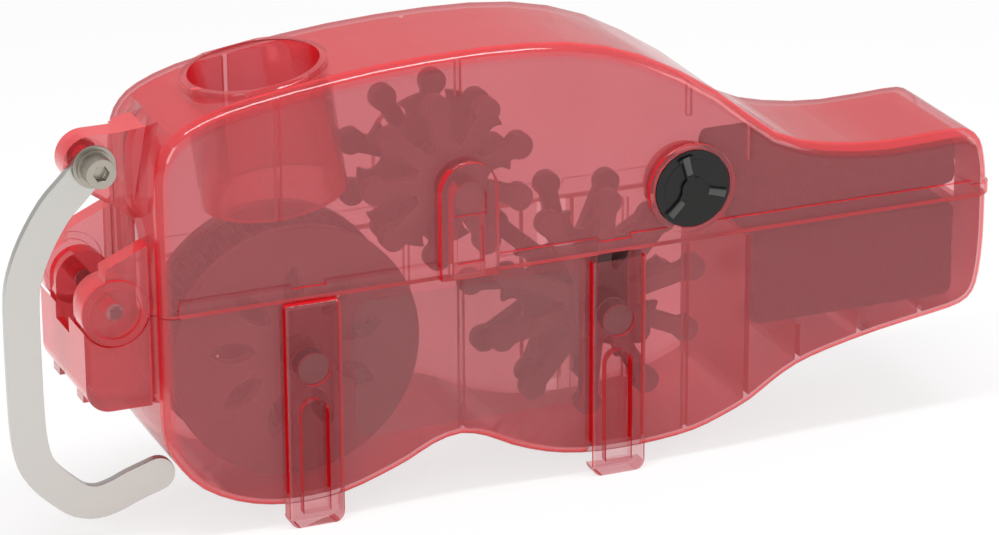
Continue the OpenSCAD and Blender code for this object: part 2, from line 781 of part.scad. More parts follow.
module left_brush_far_bristles() {
    color(black_colour) bristles(left_x, lower_axle_height, 1);
}

module left_brush_drive_wheel() {
    color(brush_colour) toothed_wheel(left_x, lower_axle_height, drive_teeth, 90);
}

module right_brush_axle() {
    color(steel_colour) axle(right_x, lower_axle_height);
}

module right_brush_near_star() {
    color(brush_colour) star(right_x, lower_axle_height, -1, star_radius, arm_count, 12);
}

module right_brush_far_star() {
    color(brush_colour) star(right_x, lower_axle_height, 1, star_radius, arm_count, 30);
}

module right_brush_drive_wheel() {
    color(brush_colour) toothed_wheel(right_x, lower_axle_height, drive_teeth, 90);
}

module upper_brush_axle() {
    color(steel_colour) axle(upper_x, upper_axle_height);
}

module upper_brush_near_star() {
    color(brush_colour)
        star(upper_x, upper_axle_height, -1, upper_star_radius, upper_arm_count, 20);
}

module upper_brush_far_star() {
    color(brush_colour)
        star(upper_x, upper_axle_height, 1, upper_star_radius, upper_arm_count, 0);
}

module upper_brush_drive_wheel() {
    color(brush_colour) toothed_wheel(upper_x, upper_axle_height, press_teeth, 90);
}

// A cushion: flat under, crowned above or below, its sides drawn in at the middle
module cushion(x0, len_x, w, z0, h, up) {
    r = h / 6;
    levels = [[0, r], [0.06, r * 0.35], [0.16, 0], [0.5, r * 0.3], [0.84, 0], [0.94, r * 0.35],
        [1, r]];
    n = 32;
    rings = [for (q = levels) [for (k = [0:n - 1])
        let (a = -k * 360 / n + 180 / n, c = cos(a), s = sin(a),
            bx = len_x / 2 - q[1], by = w / 2 - q[1],
            ex = sign(c) * pow(abs(c), 0.32) * bx, ey = sign(s) * pow(abs(s), 0.32) * by,
            crown = r * 0.5 * (1 - pow(ex / bx, 2) * 0.5 - pow(ey / by, 2) * 0.5),
            lift = up ? (q[0] > 0.5 ? crown - r * 0.5 : 0) : (q[0] < 0.5 ? r * 0.5 - crown : 0))
        [x0 + len_x / 2 + ex, ey, z0 + q[0] * h + lift]]];
    caps = [for (e = [0, len(levels) - 1]) [x0 + len_x / 2, 0,
        z0 + (e > 0 ? h : 0)]];
    m = len(levels);
    points = concat([for (q = rings) each q], caps);
    sides = [for (j = [0:m - 2]) for (k = [0:n - 1]) for (t = [0, 1])
        let (a = j * n + k, b = j * n + (k + 1) % n)
        t == 0 ? [a, a + n, b + n] : [a, b + n, b]];
    floors = [for (k = [0:n - 1]) [m * n, k, (k + 1) % n]];
    tops = [for (k = [0:n - 1]) [m * n + 1, (m - 1) * n + (k + 1) % n, (m - 1) * n + k]];
    polyhedron(points = points, faces = concat(sides, floors, tops));
}

module lower_sponge() {
    color(sponge_colour) cushion(sponge_start, sponge_length, sponge_width,
        lower_sponge_floor, lower_sponge_height, true);
}

module upper_sponge() {
    color(sponge_colour) cushion(sponge_start, sponge_length, sponge_width,
        upper_sponge_floor, upper_sponge_height, false);
}

// Cap with three grip ribs, a shank and two tabs behind the sleeve
module plug_knob() {
    cap_back = -half_width - 2 * side_gap;
    shank_back = -inner_half + sleeve_length + side_gap;
    groove = -inner_half + sleeve_length / 2;
    color(black_colour) union() {
        rod(plug_distance, plug_height, cap_radius, cap_back - cap_thick / 2, cap_back, 72);
        difference() {
            rod(plug_distance, plug_height, cap_radius * 0.9, side_gap - front_reach, cap_back, 72);
            plate(-front_reach - wall, -front_reach + cap_thick / 2)
                translate([plug_distance, plug_height]) difference() {
                    circle(r = cap_radius * 0.8, $fn = 64);
                    for (a = [225, 105, -15]) rotate(a) translate([0, -star_arm_width / 4])
                        square([cap_radius, star_arm_width / 2]);
                }
        }
        difference() {
            rod(plug_distance, plug_height, shank_radius, cap_back, shank_back, 72);
            difference() {
                rod(plug_distance, plug_height, case_width, groove - seal_section * 1.1,
                    groove + seal_section * 1.1, 72);
                rod(plug_distance, plug_height, shank_radius - 2 * seal_section,
                    groove - wall, groove + wall, 72);
            }
        }
        plate(shank_back, shank_back + tooth_thick) translate([plug_distance, plug_height]) {
            circle(r = shank_radius, $fn = 72);
            square([2 * shank_radius + 2 * wall, shank_radius], center = true);
        }
    }
}

module plug_seal() {
    color(black_colour) translate([plug_distance, -inner_half + sleeve_length / 2, plug_height])
        rotate([90, 0, 0]) rotate_extrude($fn = 72)
        translate([shank_radius - seal_section * 0.95, 0])
        circle(r = seal_section * 0.95, $fn = 24);
}

module label_film() {
    r = film_round;
    color(case_colour) plate(-half_width - film_thick - sliver / 2, -half_width - sliver / 2)
        translate([-film_start, film_floor]) {
            translate([r, 0]) square([film_length - 2 * r, film_height]);
            translate([0, r]) square([film_length, film_height - 2 * r]);
            for (x = [r, film_length - r]) for (z = [r, film_height - r])
                translate([x, z]) circle(r = r, $fn = 40);
        }
}

lower_shell();
upper_shell();
hinge_pins();
hook_arm();
hook_screw();
hook_washers();
hook_nut();
left_brush_axle();
left_brush_near_disc();
left_brush_far_disc();
left_brush_near_bristles();
left_brush_far_bristles();
left_brush_drive_wheel();
right_brush_axle();
right_brush_near_star();
right_brush_far_star();
right_brush_drive_wheel();
upper_brush_axle();
upper_brush_near_star();
upper_brush_far_star();
upper_brush_drive_wheel();
lower_sponge();
upper_sponge();
plug_knob();
plug_seal();
label_film();
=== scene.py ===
# %% [markdown]
# # A bike chain cleaner, dressed in Blender
# The tool is a clear red case in two hinged halves. The chain runs in at the left, turns two
# lower brushes and one upper brush, and leaves between two sponges in the grip at the right.
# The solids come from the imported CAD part. This notebook gives them their looks: clear plastic
# with rounded edges, foam, bristles, brushed steel, a studio and a camera.

import json
import math

import bmesh
import bpy
import numpy as np
from mathutils import Euler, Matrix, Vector

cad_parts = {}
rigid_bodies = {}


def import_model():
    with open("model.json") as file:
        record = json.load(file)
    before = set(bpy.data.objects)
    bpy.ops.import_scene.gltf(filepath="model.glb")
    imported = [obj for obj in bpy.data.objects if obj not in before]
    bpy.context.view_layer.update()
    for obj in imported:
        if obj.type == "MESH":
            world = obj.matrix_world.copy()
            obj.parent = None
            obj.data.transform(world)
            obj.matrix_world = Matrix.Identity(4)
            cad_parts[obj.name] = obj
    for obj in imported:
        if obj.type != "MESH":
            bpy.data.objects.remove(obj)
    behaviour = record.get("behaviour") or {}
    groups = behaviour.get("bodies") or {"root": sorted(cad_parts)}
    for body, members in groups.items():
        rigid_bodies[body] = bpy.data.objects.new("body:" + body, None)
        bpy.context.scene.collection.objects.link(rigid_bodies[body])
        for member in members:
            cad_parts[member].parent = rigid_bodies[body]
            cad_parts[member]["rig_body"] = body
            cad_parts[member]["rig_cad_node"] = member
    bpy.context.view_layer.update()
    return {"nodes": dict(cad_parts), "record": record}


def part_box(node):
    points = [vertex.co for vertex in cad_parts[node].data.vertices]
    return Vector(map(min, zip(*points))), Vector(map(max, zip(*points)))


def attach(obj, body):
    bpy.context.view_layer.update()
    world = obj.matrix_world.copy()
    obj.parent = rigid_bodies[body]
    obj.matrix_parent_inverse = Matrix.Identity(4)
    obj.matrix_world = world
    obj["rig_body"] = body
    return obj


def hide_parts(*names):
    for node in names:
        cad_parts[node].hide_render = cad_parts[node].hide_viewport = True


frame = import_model()
scene = bpy.context.scene
nodes = frame["nodes"]
record = frame["record"]

body_of_node = {}
for body, members in record["behaviour"]["bodies"].items():
    body_of_node.update({node: body for node in members})
print("nodes:", len(nodes), "bodies:", len(set(body_of_node.values())))

# %% [markdown]
# ## New meshes
# A piece can be modelled by hand in edit mode, but a script has to build it from numbers. Two
# ways serve here: points and faces written out, and a flat outline pushed along Y, which suits
# moulded parts. Lengths are in millimetres, as on a drawing, and become metres at the end.

# %% New meshes
MM = 0.001


def put_in_scene(name, data):
    """A new object for a mesh, a lamp or a camera."""
    obj = bpy.data.objects.new(name, data)
    scene.collection.objects.link(obj)
    return obj


def new_object(name, points, faces):
    """An object from points in millimetres and faces, with every face turned outward."""
    mesh = bpy.data.meshes.new(name)
    mesh.from_pydata([[c * MM for c in p] for p in points], [], faces)
    mesh.validate()
    mend = bmesh.new()
    mend.from_mesh(mesh)
    bmesh.ops.recalc_face_normals(mend, faces=mend.faces)
    mend.to_mesh(mesh)
    mend.free()
    return put_in_scene(name, mesh)


def pushed(name, outline, y_from, y_to):
    """A flat outline in X and Z, pushed along Y."""
    low, high = sorted((y_from, y_to))
    n = len(outline)
    points = [(x, low, z) for x, z in outline] + [(x, high, z) for x, z in outline]
    faces = [list(range(n)), list(range(2 * n - 1, n - 1, -1))]
    faces += [[i, i + n, (i + 1) % n + n, (i + 1) % n] for i in range(n)]
    return new_object(name, points, faces)


print("one drawing unit in metres:", MM)

# %% [markdown]
# ## Changed copies
# Most pieces start as a copy of their solid, because its measures are right and only its edges
# are too sharp. Modifiers could stay live on the copy, but each cut here works on the result of
# the one before, so each is baked as soon as it is made.

# %% Changed copies
SAME_POINT = 2e-6
SAME_PLANE = math.radians(0.5)


def apply_modifiers(obj):
    """Bakes an object's modifiers into its mesh."""
    bpy.context.view_layer.update()
    changed = obj.evaluated_get(bpy.context.evaluated_depsgraph_get())
    baked = bpy.data.meshes.new_from_object(changed)
    obj.modifiers.clear()
    obj.data = baked
    return obj


def copy_of(node):
    """A copy of a CAD node, with its split points joined and its flat faces whole again."""
    obj = nodes[node].copy()
    obj.data = nodes[node].data.copy()
    obj.name = "shown_" + node
    obj.parent = None
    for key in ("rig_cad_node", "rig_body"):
        if key in obj:
            del obj[key]
    scene.collection.objects.link(obj)
    mend = bmesh.new()
    mend.from_mesh(obj.data)
    bmesh.ops.remove_doubles(mend, verts=mend.verts, dist=SAME_POINT)
    bmesh.ops.dissolve_limit(mend, angle_limit=SAME_PLANE, verts=mend.verts, edges=mend.edges)
    mend.to_mesh(obj.data)
    mend.free()
    return obj


def combine(obj, other, how):
    """Cuts or joins another closed mesh into obj, and removes the other."""
    change = obj.modifiers.new(how.lower(), "BOOLEAN")
    change.operation = how
    change.object = other
    change.solver = "EXACT"
    apply_modifiers(obj)
    bpy.data.objects.remove(other)
    return obj


def soften(obj, width, angle=40, segments=2):
    """Small rounded edges where faces meet more sharply than the angle."""
    bevel = obj.modifiers.new("edges", "BEVEL")
    bevel.width = width * MM
    bevel.segments = segments
    bevel.limit_method = "ANGLE"
    bevel.angle_limit = math.radians(angle)
    bevel.use_clamp_overlap = True
    return apply_modifiers(obj)


print("points closer than this many metres are joined:", SAME_POINT)

# %% [markdown]
# ## Shading, and a place in the frame
# A moulded face is flat up to its soft edge. Flat shading would show every facet of a curve, and
# plain smooth shading bends the light on the large faces. Weighted normals let the large faces
# rule, so they stay flat and the small ones turn between them. A finished piece then stands for
# its CAD node and moves with that node's body.

# %% Finished pieces
def smooth_shade(obj, angle):
    """Smooth shading, with edges sharper than the angle kept crisp and large faces kept flat."""
    obj.data.shade_smooth()
    obj.data.set_sharp_from_angle(angle=math.radians(angle))
    weigh = obj.modifiers.new("normals", "WEIGHTED_NORMAL")
    weigh.mode = "FACE_AREA"
    weigh.keep_sharp = True


def finish_piece(obj, node, finish, angle=32):
    """Shades a piece, gives it its finish and lets it stand for its CAD node."""
    smooth_shade(obj, angle)
    obj.data.materials.clear()
    obj.data.materials.append(finish)
    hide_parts(node)
    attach(obj, body_of_node[node])
    return obj


print("pieces to finish:", len(body_of_node))

# %% [markdown]
# ## Finishes
# Every finish starts from the Principled shader. A picture could be wrapped round the parts, but
# noise needs no unwrapping and stays sharp at any distance. So the fine grain and the slow drift
# of tone on real plastic and metal both come from noise textures.

# %% Finish helpers
BUMP_DEPTH = 0.0004
NOISE_DETAIL = 3.0
DARK_AT, LIGHT_AT = 0.35, 0.65


def material(name, colour, roughness, metallic=0.0, specular=0.5):
    """A plain finish of one colour."""
    m = bpy.data.materials.new(name)
    m.use_nodes = True
    shader = m.node_tree.nodes["Principled BSDF"]
    shader.inputs["Base Color"].default_value = (*colour, 1)
    shader.inputs["Roughness"].default_value = roughness
    shader.inputs["Metallic"].default_value = metallic
    shader.inputs["Specular IOR Level"].default_value = specular
    return m


def bumped(m, scale, strength, stretch=(1, 1, 1)):
    """Adds a fine noise bump to a finish, stretched along an axis where asked."""
    n, link = m.node_tree.nodes, m.node_tree.links
    place = n.new("ShaderNodeTexCoord")
    mapping = n.new("ShaderNodeMapping")
    mapping.inputs["Scale"].default_value = stretch
    noise = n.new("ShaderNodeTexNoise")
    noise.inputs["Scale"].default_value = scale
    noise.inputs["Detail"].default_value = NOISE_DETAIL
    bump = n.new("ShaderNodeBump")
    bump.inputs["Strength"].default_value = strength
    bump.inputs["Distance"].default_value = BUMP_DEPTH
    link.new(place.outputs["Object"], mapping.inputs["Vector"])
    link.new(mapping.outputs["Vector"], noise.inputs["Vector"])
    link.new(noise.outputs["Fac"], bump.inputs["Height"])
    link.new(bump.outputs["Normal"], n["Principled BSDF"].inputs["Normal"])
    return bump


def varied(m, dark, light, scale):
    """Lets a slow noise drift the colour between two tones."""
    n, link = m.node_tree.nodes, m.node_tree.links
    place = n.new("ShaderNodeTexCoord")
    noise = n.new("ShaderNodeTexNoise")
    noise.inputs["Scale"].default_value = scale
    ramp = n.new("ShaderNodeValToRGB")
    low, high = ramp.color_ramp.elements
    low.position, high.position = DARK_AT, LIGHT_AT
    low.color, high.color = (*dark, 1), (*light, 1)
    link.new(place.outputs["Object"], noise.inputs["Vector"])
    link.new(noise.outputs["Fac"], ramp.inputs["Fac"])
    link.new(ramp.outputs["Color"], n["Principled BSDF"].inputs["Base Color"])


def mixed(tree, share, under, over):
    """Mixes two shaders by a share from 0, all under, to 1, all over."""
    mix = tree.nodes.new("ShaderNodeMixShader")
    for socket, source in zip(mix.inputs, (share, under, over)):
        tree.links.new(source, socket)
    return mix.outputs[0]


def computed(tree, operation, source, *numbers):
    """A Math node that works on a source and up to two plain numbers."""
    step = tree.nodes.new("ShaderNodeMath")
    step.operation = operation
    tree.links.new(source, step.inputs[0])
    for socket, number in zip(step.inputs[1:], numbers):
        socket.default_value = number
    return step.outputs[0]


print("depth of the grain in metres:", BUMP_DEPTH)

# %% [markdown]
# ## Clear red plastic
# The brushes show through the case, tinted red, and its edges look denser than its faces. Glass
# shading would bend every ray, which is slow and grainy through many walls. Here a tinted
# see-through shader is mixed with a solid red one, which takes over where a face is seen at a
# flat angle, and a thin gloss lies on top. Ribs and inner walls get a deeper red than the skin,
# and the film on the front wall is nearly clear.

# %% Clear red plastic
EDGE_BLEND, EDGE_FROM, PAST_FULL = 0.35, 0.15, 0.05
GLOSS_BLEND, GLOSS_FALL, GLOSS_EDGE, GLOSS_ROUGHNESS = 0.5, 4.0, 0.35, 0.12
GRAIN_SCALE, GRAIN_STRENGTH = 60, 0.05


def tinted_body(m, facing, edge, tint, thin, thick, start, full):
    """A see-through tint that gives way to the solid colour towards the edges."""
    n, link = m.node_tree.nodes, m.node_tree.links
    shader = n["Principled BSDF"]
    weight = n.new("ShaderNodeLayerWeight")
    weight.inputs["Blend"].default_value = EDGE_BLEND
    tone = n.new("ShaderNodeValToRGB")
    low, high = tone.color_ramp.elements
    low.position, high.position = EDGE_FROM, full
    low.color, high.color = (*facing, 1), (*edge, 1)
    density = n.new("ShaderNodeMapRange")
    density.inputs["From Min"].default_value = start
    density.inputs["From Max"].default_value = full + PAST_FULL
    density.inputs["To Min"].default_value = thin
    density.inputs["To Max"].default_value = thick
    window = n.new("ShaderNodeBsdfTransparent")
    window.inputs["Color"].default_value = (*tint, 1)
    link.new(weight.outputs["Facing"], tone.inputs["Fac"])
    link.new(weight.outputs["Facing"], density.inputs["Value"])
    link.new(tone.outputs["Color"], shader.inputs["Base Color"])
    return mixed(m.node_tree, density.outputs["Result"], window.outputs[0], shader.outputs[0])


def glossed(m, under, shine):
    """A thin gloss over a shader, stronger towards the edges."""
    tree = m.node_tree
    grazing = tree.nodes.new("ShaderNodeLayerWeight")
    grazing.inputs["Blend"].default_value = GLOSS_BLEND
    steep = computed(tree, "POWER", grazing.outputs["Facing"], GLOSS_FALL)
    amount = computed(tree, "MULTIPLY_ADD", steep, GLOSS_EDGE, shine)
    gloss = tree.nodes.new("ShaderNodeBsdfGlossy")
    gloss.inputs["Color"].default_value = (1, 1, 1, 1)
    gloss.inputs["Roughness"].default_value = GLOSS_ROUGHNESS
    grain = bumped(m, GRAIN_SCALE, GRAIN_STRENGTH)
    tree.links.new(grain.outputs["Normal"], gloss.inputs["Normal"])
    return mixed(tree, amount, under, gloss.outputs[0])


def clear_plastic(name, facing, edge, tint, thin, thick, start, full, shine):
    """Clear coloured plastic: what is behind it shows tinted, and its edges look denser."""
    m = material(name, facing, GLOSS_ROUGHNESS)
    body = tinted_body(m, facing, edge, tint, thin, thick, start, full)
    surface = glossed(m, body, shine)
    m.node_tree.links.new(surface, m.node_tree.nodes["Material Output"].inputs["Surface"])
    return m


case_red = clear_plastic("case_red", facing=(0.69, 0.12, 0.14), edge=(0.63, 0.026, 0.038),
                         tint=(0.93, 0.70, 0.72), thin=0.20, thick=0.82,
                         start=0.38, full=0.85, shine=0.026)
rib_red = clear_plastic("rib_red", facing=(0.75, 0.075, 0.09), edge=(0.72, 0.012, 0.02),
                        tint=(0.97, 0.56, 0.58), thin=0.30, thick=0.92,
                        start=0.2, full=0.45, shine=0.03)
film_red = clear_plastic("film_red", facing=(0.50, 0.24, 0.24), edge=(0.4, 0.1, 0.1),
                         tint=(0.96, 0.95, 0.95), thin=0.02, thick=0.2,
                         start=0.45, full=0.9, shine=0.01)
print("clear plastics:", case_red.name, rib_red.name, film_red.name)

# %% [markdown]
# ## The case outline
# Seen from the front, the case is one long curve: a tank with two round bulges under it, a domed
# lid and a slim grip. A Bezier curve could hold it, but the rounding, the lip and the two reds
# all need plain points on it. So a smooth line runs through listed points, given as shares
# of the length and the height, and the solids follow the same line.

# %% Outline
LENGTH, HEIGHT = 252.9, 130.7
HALF = 24.0
INLET = 106.5
END = LENGTH - INLET
PARTING, UPPER_FLOOR = 66.3, 66.6
LINE_STEPS = 2

top_shares = [(0, 0.507), (0, 0.673), (0, 0.788), (0.004, 0.845), (0.015, 0.884),
              (0.036, 0.915), (0.081, 0.946), (0.155, 0.97), (0.257, 0.992), (0.373, 1),
              (0.476, 0.987), (0.565, 0.937), (0.657, 0.833), (0.729, 0.722), (0.792, 0.679),
              (0.868, 0.661), (0.951, 0.665), (0.976, 0.66), (0.991, 0.635), (0.997, 0.597),
              (1, 0.551), (1, 0.507)]
bottom_shares = [(0, 0.507), (0, 0.383), (0, 0.283), (0.004, 0.218), (0.02, 0.157),
                 (0.045, 0.104), (0.081, 0.065), (0.121, 0.043), (0.164, 0.036),
                 (0.208, 0.044), (0.247, 0.066), (0.283, 0.092), (0.314, 0.121),
                 (0.346, 0.134), (0.378, 0.117), (0.409, 0.086), (0.449, 0.057),
                 (0.492, 0.04), (0.54, 0.035), (0.587, 0.038), (0.631, 0.048),
                 (0.666, 0.069), (0.702, 0.098), (0.73, 0.133), (0.761, 0.165),
                 (0.801, 0.188), (0.864, 0.213), (0.935, 0.233), (0.97, 0.246),
                 (0.988, 0.272), (0.996, 0.321), (1, 0.406), (1, 0.507)]


def smooth_line(p, steps):
    """A curve through every point."""
    out = []
    for i in range(len(p) - 1):
        a, b, c, d = p[max(i - 1, 0)], p[i], p[i + 1], p[min(i + 2, len(p) - 1)]
        for k in range(steps):
            t = k / steps
            out.append(0.5 * (2 * b + (c - a) * t + (2 * a - 5 * b + 4 * c - d) * t * t
                              + (3 * b - a - 3 * c + d) * t ** 3))
    return np.array(out + [p[-1]])


def case_line(shares):
    """The smooth line through points given as shares of the case's length and height."""
    return smooth_line(np.array([[s * LENGTH - INLET, t * HEIGHT] for s, t in shares]), LINE_STEPS)


top_line = case_line(top_shares)
bottom_line = case_line(bottom_shares)
print("outline points:", len(top_line), len(bottom_line))

# %% [markdown]
# ## Rounding the long edges
# The real case has round long edges, and the solids have square ones. A bevel modifier could
# round them, but it would also catch every rib and pocket. Instead a bar with a hollow,
# quarter-round face is skinned along the outline and cut off each edge, as a maker would run a
# rounding tool along it.

# %% Rounding cuts
ROUND = 4.5
BAR_OUTSIDE = 2.2
BAR_PAST_SIDE, BAR_PAST_TOP, BAR_PAST_END = 1.5, 1.0, 3


def drawn_in(p, d, side):
    """The line moved inward by d, with mitred corners; its ends move along X only."""
    out = [p[0] + [d, 0]]
    for i in range(1, len(p) - 1):
        n = []
        for a, b in ((p[i - 1], p[i]), (p[i], p[i + 1])):
            v = np.array([b[1] - a[1], a[0] - b[0]]) * side
            n.append(v / np.linalg.norm(v))
        b = (n[0] + n[1]) / np.linalg.norm(n[0] + n[1])
        out.append(p[i] + b * d / (b @ n[1]))
    return np.array(out + [p[-1] - [d, 0]])


def bar_section():
    """The bar's section, as steps inward from the outline and distances from the middle."""
    arc = [(ROUND * (1 - math.sin(a)), HALF - ROUND * (1 - math.cos(a)))
           for a in np.radians(np.arange(-4, 95, 8))]
    outside = [(-BAR_OUTSIDE, HALF - ROUND - BAR_PAST_SIDE), (-BAR_OUTSIDE, HALF + BAR_OUTSIDE),
               (ROUND + BAR_PAST_TOP, HALF + BAR_OUTSIDE)]
    return arc + outside


def rounding_bar(line, side, z_end, s):
    """A bar along one long edge, whose hollow face leaves the new rounding."""
    section = bar_section()
    lines = []
    for inset, _ in section:
        q = drawn_in(line, inset, side)
        q[0, 1] = q[-1, 1] = z_end
        lines.append(q)
    n = len(section)
    points = [(lines[k][i][0], s * section[k][1], lines[k][i][1])
              for i in range(len(line)) for k in range(n)]
    faces = [[i * n + k, i * n + (k + 1) % n, (i + 1) * n + (k + 1) % n, (i + 1) * n + k]
             for i in range(len(line) - 1) for k in range(n)]
    faces += [list(range(n)), [(len(line) - 1) * n + k for k in range(n)]]
    return new_object("cut", points, faces)


upper = copy_of("upper_shell")
lower = copy_of("lower_shell")
for s in (-1, 1):
    combine(upper, rounding_bar(top_line, 1, UPPER_FLOOR - BAR_PAST_END, s), "DIFFERENCE")
    combine(lower, rounding_bar(bottom_line, -1, PARTING + BAR_PAST_END, s), "DIFFERENCE")
print("upper faces:", len(upper.data.polygons), "lower faces:", len(lower.data.polygons))

# %% [markdown]
# ## Foot channels
# Four upright channels stand on the lower half's outside: they hold the axles' ends, and the
# tool stands on their feet. The rounding cut takes them off where they cross the bottom edge.
# The cut could be made to stop and start round them, but it is simpler to put each channel back
# as its own bar, with soft edges, a slot and a round window, and join it to the shell.

# %% Feet
LEFT_BRUSH, RIGHT_BRUSH = -64.25, 27.25
AXLE = 46.75
FOOT_HALF, FOOT_ROUND, FOOT_TOP = 8.0, 3.0, PARTING - 0.05
FOOT_FACE, FOOT_ROOT, PAST_FOOT = 27.0, 22.0, 30.0
FOOT_EDGE = 0.7
SLOT_HALF, SLOT_BOTTOM, SLOT_TOP = 4, 4, 33.7
WINDOW, WINDOW_FLOOR = 4.72, 26.5


def arc_points(x, z, r, a0, a1, count):
    """Points along an arc in X and Z, with its angles in degrees."""
    return [(x + r * math.cos(a), z + r * math.sin(a))
            for a in np.radians(np.linspace(a0, a1, count))]


def circle(x, z, r, count):
    """Points round a whole circle in X and Z."""
    return arc_points(x, z, r, 0, 360, count + 1)[:-1]


def foot(x, s):
    """One channel as a bar with a round-topped slot and, over the axle, a shallow window."""
    left, right = x - FOOT_HALF, x + FOOT_HALF
    outline = [(left, FOOT_TOP), (left, FOOT_ROUND)]
    outline += arc_points(left + FOOT_ROUND, FOOT_ROUND, FOOT_ROUND, 180, 270, 8)[1:]
    outline += arc_points(right - FOOT_ROUND, FOOT_ROUND, FOOT_ROUND, 270, 360, 8)
    outline += [(right, FOOT_TOP)]
    bar = soften(pushed("foot", outline, s * FOOT_FACE, s * FOOT_ROOT), FOOT_EDGE, 50, 3)
    slot = [(x - SLOT_HALF, SLOT_BOTTOM), (x + SLOT_HALF, SLOT_BOTTOM)]
    slot += arc_points(x, SLOT_TOP, SLOT_HALF, 0, 180, 20)
    combine(bar, pushed("slot", slot, s * HALF, s * PAST_FOOT), "DIFFERENCE")
    window = circle(x, AXLE, WINDOW, 40)
    return combine(bar, pushed("window", window, s * WINDOW_FLOOR, s * PAST_FOOT), "DIFFERENCE")


for x in (LEFT_BRUSH, RIGHT_BRUSH):
    for s in (-1, 1):
        combine(lower, foot(x, s), "UNION")
print("lower shell with feet:", len(lower.data.polygons), "faces")

# %% [markdown]
# ## Hinge knuckles
# Each outer knuckle has a raised rim round a closed face, so the hinge pin's end shows only
# through the plastic. A ring could be spun round an axis, but two nested circles joined by
# faces give the same shape in fewer steps.

# %% Knuckle rims
HINGE = (-118.5, 69.5)
CIRCLE_POINTS = 48
RIM_OUTER, RIM_INNER, RIM_ROOT, RIM_FACE = 9.45, 7.2, 19.6, 20.9
DISC, DISC_ROOT, DISC_FACE = 7.6, 19.7, 20.25
TRIM_EDGE = 0.35


def rim(s):
    """A flat ring round the hinge's axis, with soft edges."""
    low, high = sorted((s * RIM_ROOT, s * RIM_FACE))
    points = []
    for r, y in ((RIM_OUTER, low), (RIM_OUTER, high), (RIM_INNER, high), (RIM_INNER, low)):
        points += [(x, y, z) for x, z in circle(*HINGE, r, CIRCLE_POINTS)]
    faces = []
    for k in range(4):
        here, there = k * CIRCLE_POINTS, (k + 1) % 4 * CIRCLE_POINTS
        for i in range(CIRCLE_POINTS):
            j = (i + 1) % CIRCLE_POINTS
            faces.append([here + i, here + j, there + j, there + i])
    return soften(new_object("rim", points, faces), TRIM_EDGE, 50)


for s in (-1, 1):
    combine(upper, rim(s), "UNION")
    disc = circle(*HINGE, DISC, CIRCLE_POINTS)
    combine(upper, pushed("face", disc, s * DISC_ROOT, s * DISC_FACE), "UNION")
print("upper shell with rims:", len(upper.data.polygons), "faces")

# %% [markdown]
# ## Parting lip
# A low lip runs along the lower edge of the upper half, where the two mouldings meet. It could
# be scaled from a slice of the case, but a scaled slice is thicker at its ends than at its
# sides. So each side is drawn flat, seen from above: a strip that turns the grip's rounded
# corner and stops at the chain's notch. It is then raised to its height and joined on.

# %% Lip
LIP, LIP_DEPTH = 0.8, 1.0
LIP_BOTTOM, LIP_TOP = UPPER_FLOOR + 0.02, 70.4
LIP_START = ROUND - INLET
NOTCH = 6.0


def lip_side(s):
    """The lip on one side, from the inlet's corner to the chain's notch."""
    corner = (END - ROUND, HALF - ROUND)
    plan = [(LIP_START, HALF + LIP)] + arc_points(*corner, ROUND + LIP, 90, 0, 12)
    plan += [(END + LIP, NOTCH), (END - LIP_DEPTH, NOTCH)]
    plan += arc_points(*corner, ROUND - LIP_DEPTH, 0, 90, 12)
    plan += [(LIP_START, HALF - LIP_DEPTH)]
    n = len(plan)
    points = [(x, s * y, z) for z in (LIP_BOTTOM, LIP_TOP) for x, y in plan]
    faces = [list(range(n)), list(range(n, 2 * n))]
    faces += [[i, (i + 1) % n, (i + 1) % n + n, i + n] for i in range(n)]
    return soften(new_object("lip", points, faces), TRIM_EDGE, 50)


for s in (-1, 1):
    combine(upper, lip_side(s), "UNION")
print("upper shell with its lip:", len(upper.data.polygons), "faces")

# %% [markdown]
# ## Deeper colour in the ribs
# Light that runs along a wall comes out a deep red, so ribs, bores, inner walls and the rounded
# edges look denser than the skin. Glass with a density inside would show that by itself, but
# slowly. Here each of those faces is found by where it lies and which way it looks, and gets
# the deeper red.

# %% Skin and ribs
EDGE_BAND = ROUND + 0.3
SKIN_DEPTH = HALF - ROUND - 1
INNER_GAP = 1.4
# How squarely a face looks along Y, from 0 to 1.
ROUNDING_LEAST, ROUNDING_MOST = 0.12, 0.93
WALL_MOST, FLAT_LEAST = 0.5, 0.6


def outline_gap(x, z):
    """The distance from a point to the case's outline, in millimetres."""
    point, least = np.array([x, z]), 1e9
    for line in (top_line, bottom_line):
        start, step = line[:-1], np.diff(line, axis=0)
        share = np.clip(((point - start) * step).sum(1) / (step ** 2).sum(1), 0, 1)
        least = min(least, np.linalg.norm(start + step * share[:, None] - point, axis=1).min())
    return least


def looks_deep(face):
    """Whether a face is on a rounded edge, an inner wall or a rib, and not on the skin."""
    x, y, z = (c / MM for c in face.center)
    gap, facing_y = outline_gap(x, z), abs(face.normal.y)
    on_skin = abs(y) > SKIN_DEPTH
    rounding = gap < EDGE_BAND and on_skin and ROUNDING_LEAST < facing_y < ROUNDING_MOST
    inner_wall = gap > INNER_GAP and facing_y < WALL_MOST and abs(y) < HALF - ROUND
    rib = gap > EDGE_BAND and not (facing_y > FLAT_LEAST and on_skin)
    return rounding or inner_wall or rib


for shell, node in ((upper, "upper_shell"), (lower, "lower_shell")):
    finish_piece(shell, node, case_red, 28)
    shell.data.materials.append(rib_red)
    deep = [face for face in shell.data.polygons if looks_deep(face)]
    for face in deep:
        face.material_index = 1
    print(node, "faces in the deeper red:", len(deep), "of", len(shell.data.polygons))

# %% [markdown]
# ## Steel, brush plastic and rubber
# The hook and screws are bright steel, the axles are dull, and the wheels, discs and stars are
# dark moulded plastic with a slight grain. One steel could serve for all, but each catches the
# light in its own way. The hook is brushed, so its noise is stretched into streaks along X.

